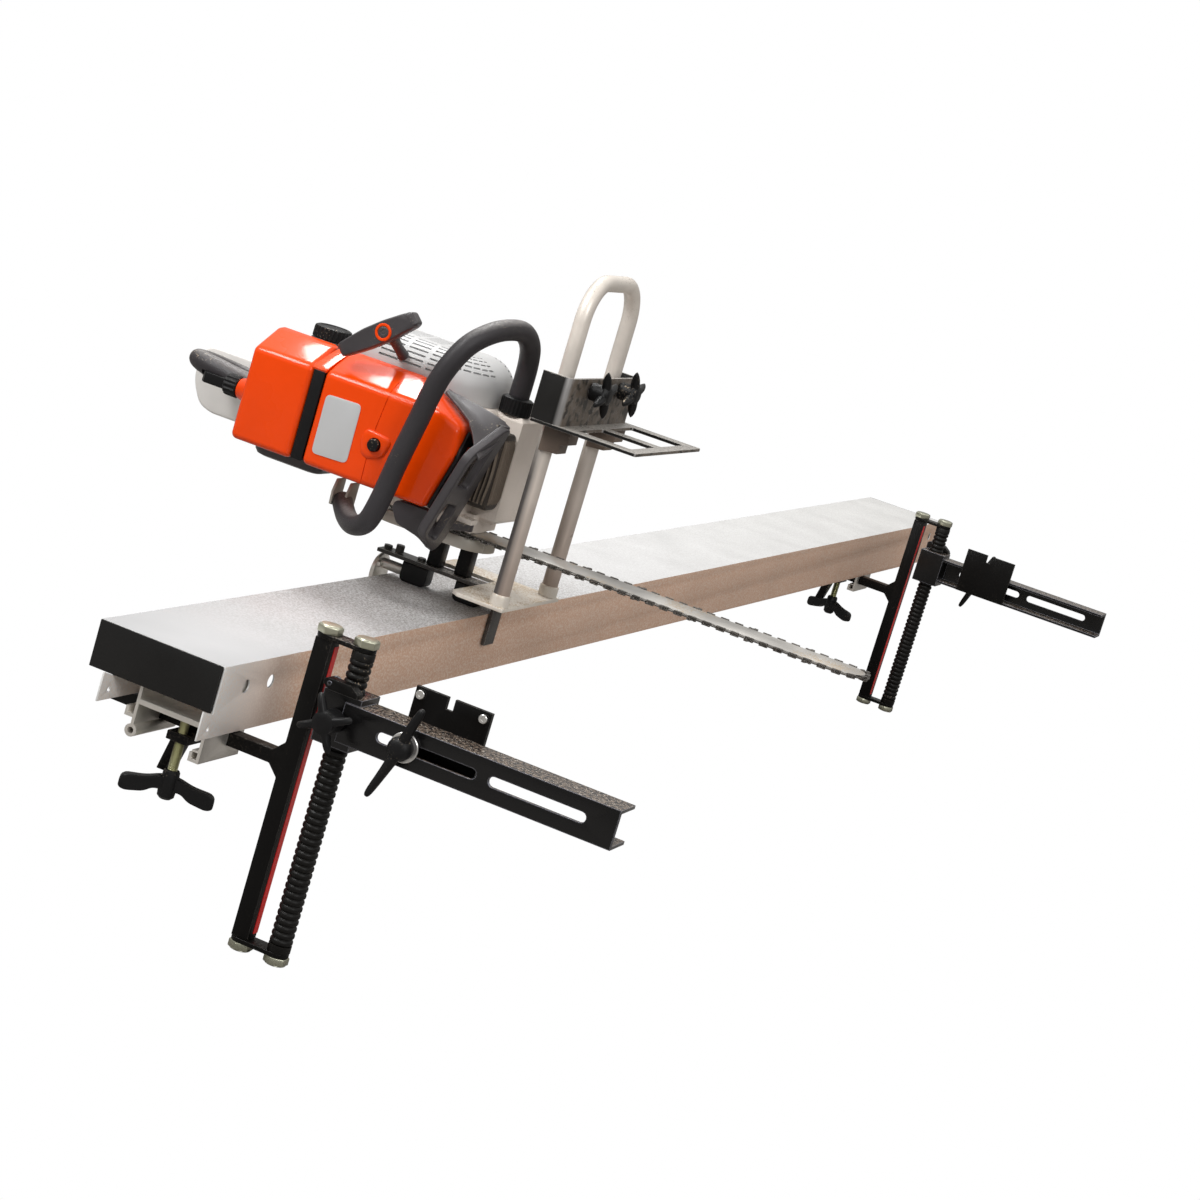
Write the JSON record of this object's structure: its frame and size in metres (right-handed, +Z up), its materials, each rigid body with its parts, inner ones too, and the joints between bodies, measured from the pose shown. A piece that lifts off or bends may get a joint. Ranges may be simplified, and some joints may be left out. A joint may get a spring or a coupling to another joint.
{
  "type": "chainsaw mill",
  "caption": "Guide rail on two log brackets with a sliding carriage that carries a chainsaw on its side, bar level, under an adjustable height guide.",
  "frame": {"origin": "middle of the near log plate's back face, which sits on the log's near end", "axes": "+X along the rail from the near end to the far end, +Y from the log to the rail's side, +Z up"},
  "size_m": [3.004, 0.9834, 0.7433],
  "materials": {
    "zinc_sheet": "satin",
    "clip_aluminium": "satin",
    "black_steel": "satin black paint",
    "black_plastic": "matt",
    "zinc_plate": "yellow zinc",
    "tube_paint": "satin, dusty",
    "orange_shell": "glossy",
    "grey_shell": "matt",
    "dark_shell": "matt",
    "handle_rubber": "soft",
    "bar_steel": "ground",
    "chain_steel": "oiled",
    "cast_metal": "cast"
  },
  "bodies": {
    "near_log_mount": {"near_log_plate": "black_steel"},
    "near_wing_bolt": {"near_wing_bolt": "black_steel"},
    "near_arm": {"near_slide_arm": "black_steel"},
    "near_lock_knob": {"near_lock_knob": "black_plastic"},
    "near_pawl": {"near_pawl": "black_steel"},
    "near_bracket": {"near_bracket_frame": "black_steel", "near_rack": "black_steel", "near_top_tie": "zinc_plate", "near_bottom_tie": "zinc_plate"},
    "near_clamp_screw": {"near_clamp_screw": "zinc_plate"},
    "near_clamp_jaw": {"near_clamp_jaw": "black_steel"},
    "far_log_mount": {"far_log_plate": "black_steel"},
    "far_wing_bolt": {"far_wing_bolt": "black_steel"},
    "far_arm": {"far_slide_arm": "black_steel"},
    "far_lock_knob": {"far_lock_knob": "black_plastic"},
    "far_pawl": {"far_pawl": "black_steel"},
    "far_bracket": {"far_bracket_frame": "black_steel", "far_rack": "black_steel", "far_top_tie": "zinc_plate", "far_bottom_tie": "zinc_plate"},
    "far_clamp_screw": {"far_clamp_screw": "zinc_plate"},
    "far_clamp_jaw": {"far_clamp_jaw": "black_steel"},
    "rail": {"rail_deck": "zinc_sheet", "near_end_cover": "black_plastic", "far_end_cover": "black_plastic", "near_rail_clip": "clip_aluminium", "far_rail_clip": "clip_aluminium"},
    "carriage": {"outer_slider": "black_plastic", "inner_slider": "black_plastic", "carriage_beam": "black_steel", "side_guide": "zinc_sheet", "saddle_plate": "zinc_sheet", "u_frame": "tube_paint", "crankcase": "grey_shell", "starter_cover": "grey_shell", "front_cover": "orange_shell", "rear_cover": "orange_shell", "filter_band": "black_plastic", "cylinder": "cast_metal", "muffler": "dark_shell", "rear_handle": "dark_shell", "wrap_handle": "handle_rubber", "guide_bar": "bar_steel", "saw_chain": "chain_steel", "sprocket_cover": "cast_metal", "rear_post": "black_steel", "front_post": "black_steel"},
    "height_guide": {"height_guide": "black_steel"},
    "near_guide_knob": {"near_guide_knob": "black_plastic"},
    "far_guide_knob": {"far_guide_knob": "black_plastic"},
    "throttle_trigger": {"throttle_trigger": "black_plastic"},
    "throttle_lock": {"throttle_lock": "black_plastic"},
    "hand_guard": {"hand_guard": "dark_shell"},
    "starter_grip": {"starter_grip": "dark_shell"},
    "fuel_cap": {"fuel_cap": "black_plastic"},
    "cover_knob": {"cover_knob": "black_plastic"},
    "release_button": {"release_button": "black_plastic"},
    "crankshaft": {"crankshaft": "bar_steel"},
    "nose_sprocket": {"nose_sprocket": "bar_steel"}
  },
  "joints": [
    {"name": "near_wing_bolt_turn", "type": "hinge", "parent": "near_log_mount", "child": "near_wing_bolt", "pos_m": [-0.0503, 0.022, -0.017], "axis": [1, 0, 0], "range_deg": [-60, 20]},
    {"name": "near_slot_slide", "type": "slide", "parent": "near_log_mount", "child": "near_arm", "axis": [0, 1, 0], "range_m": [-0.027, 0.076]},
    {"name": "near_lock_knob_turn", "type": "hinge", "parent": "near_arm", "child": "near_lock_knob", "pos_m": [-0.0603, 0.103, -0.017], "axis": [1, 0, 0], "range_deg": [-90, 90]},
    {"name": "near_pawl_lift", "type": "hinge", "parent": "near_arm", "child": "near_pawl", "pos_m": [-0.0433, 0.119, 0.018], "axis": [1, 0, 0], "range_deg": [-30, 0]},
    {"name": "near_jack", "type": "slide", "parent": "near_arm", "child": "near_bracket", "axis": [0, 0, 1], "range_m": [-0.03, 0.228]},
    {"name": "near_reach", "type": "slide", "parent": "near_bracket", "child": "rail", "axis": [0, 1, 0], "range_m": [0, 0.045]},
    {"name": "near_clamp_screw_turn", "type": "hinge", "parent": "rail", "child": "near_clamp_screw", "pos_m": [-0.0463, 0.2645, -0.116], "axis": [0, 0, 1], "range_deg": [-720, 0]},
    {"name": "near_clamp_jaw_slide", "type": "slide", "parent": "rail", "child": "near_clamp_jaw", "axis": [0, 0, 1], "range_m": [-0.0041, 0]},
    {"name": "far_clamp_screw_turn", "type": "hinge", "parent": "rail", "child": "far_clamp_screw", "pos_m": [2.4233, 0.2645, -0.116], "axis": [0, 0, 1], "range_deg": [-720, 0]},
    {"name": "far_clamp_jaw_slide", "type": "slide", "parent": "rail", "child": "far_clamp_jaw", "axis": [0, 0, 1], "range_m": [-0.0041, 0]},
    {"name": "far_reach", "type": "slide", "parent": "rail", "child": "far_bracket", "axis": [0, 1, 0], "range_m": [-0.045, 0]},
    {"name": "far_jack", "type": "slide", "parent": "far_bracket", "child": "far_arm", "axis": [0, 0, 1], "range_m": [-0.228, 0.03]},
    {"name": "far_lock_knob_turn", "type": "hinge", "parent": "far_arm", "child": "far_lock_knob", "pos_m": [2.4373, 0.103, -0.017], "axis": [1, 0, 0], "range_deg": [-90, 90]},
    {"name": "far_pawl_lift", "type": "hinge", "parent": "far_arm", "child": "far_pawl", "pos_m": [2.4203, 0.119, 0.018], "axis": [1, 0, 0], "range_deg": [-30, 0]},
    {"name": "far_slot_slide", "type": "slide", "parent": "far_arm", "child": "far_log_mount", "axis": [0, 1, 0], "range_m": [-0.076, 0.027]},
    {"name": "far_wing_bolt_turn", "type": "hinge", "parent": "far_log_mount", "child": "far_wing_bolt", "pos_m": [2.4273, 0.022, -0.017], "axis": [1, 0, 0], "range_deg": [-60, 20]},
    {"name": "carriage_slide", "type": "slide", "parent": "rail", "child": "carriage", "axis": [1, 0, 0], "range_m": [-0.66, 2.2]},
    {"name": "height_guide_slide", "type": "slide", "parent": "carriage", "child": "height_guide", "axis": [0, 0, 1], "range_m": [-0.145, 0.095]},
    {"name": "near_guide_knob_turn", "type": "hinge", "parent": "height_guide", "child": "near_guide_knob", "pos_m": [0.5277, 0.136, 0.316], "axis": [0, 1, 0], "range_deg": [-90, 90]},
    {"name": "far_guide_knob_turn", "type": "hinge", "parent": "height_guide", "child": "far_guide_knob", "pos_m": [0.6257, 0.136, 0.316], "axis": [0, 1, 0], "range_deg": [-90, 90]},
    {"name": "trigger_pull", "type": "hinge", "parent": "carriage", "child": "throttle_trigger", "pos_m": [0.5387, 0.567, 0.1775], "axis": [0, 0, 1], "range_deg": [0, 12], "stiffness_Nm_per_rad": 0.3, "springref_deg": -11.46},
    {"name": "throttle_lock_press", "type": "hinge", "parent": "carriage", "child": "throttle_lock", "pos_m": [0.5197, 0.633, 0.1775], "axis": [0, 0, 1], "range_deg": [0, 5], "stiffness_Nm_per_rad": 0.3, "springref_deg": -11.46},
    {"name": "hand_guard_push", "type": "hinge", "parent": "carriage", "child": "hand_guard", "pos_m": [0.5317, 0.251, 0.177], "axis": [0, 0, 1], "range_deg": [0, 11]},
    {"name": "starter_pull", "type": "slide", "parent": "carriage", "child": "starter_grip", "axis": [-0.8543, 0.3436, 0.39], "range_m": [0, 0.6], "stiffness_N_per_m": 15, "springref_m": -0.4},
    {"name": "fuel_cap_turn", "type": "hinge", "parent": "carriage", "child": "fuel_cap", "pos_m": [0.5447, 0.496, 0.275], "axis": [0, 0, 1], "range_deg": [0, 360]},
    {"name": "cover_knob_turn", "type": "hinge", "parent": "carriage", "child": "cover_knob", "pos_m": [0.4887, 0.579, 0.183], "axis": [0, 1, 0], "range_deg": [-90, 90]},
    {"name": "release_button_press", "type": "slide", "parent": "carriage", "child": "release_button", "axis": [1, 0, 0], "range_m": [0, 0.004], "stiffness_N_per_m": 600, "springref_m": -0.002},
    {"name": "crankshaft_spin", "type": "hinge", "parent": "carriage", "child": "crankshaft", "pos_m": [0.5767, 0.347, 0.187], "axis": [0, 0, 1], "continuous": true},
    {"name": "nose_sprocket_spin", "type": "hinge", "parent": "carriage", "child": "nose_sprocket", "pos_m": [0.5767, -0.237, 0.097], "axis": [0, 0, 1], "continuous": true}
  ],
  "couplings": [
    {"joint": "near_clamp_jaw_slide", "follows": "near_clamp_screw_turn", "m_per_rad": 0.0003183},
    {"joint": "far_clamp_jaw_slide", "follows": "far_clamp_screw_turn", "m_per_rad": 0.0003183},
    {"joint": "nose_sprocket_spin", "follows": "crankshaft_spin", "ratio": 0.63636}
  ]
}
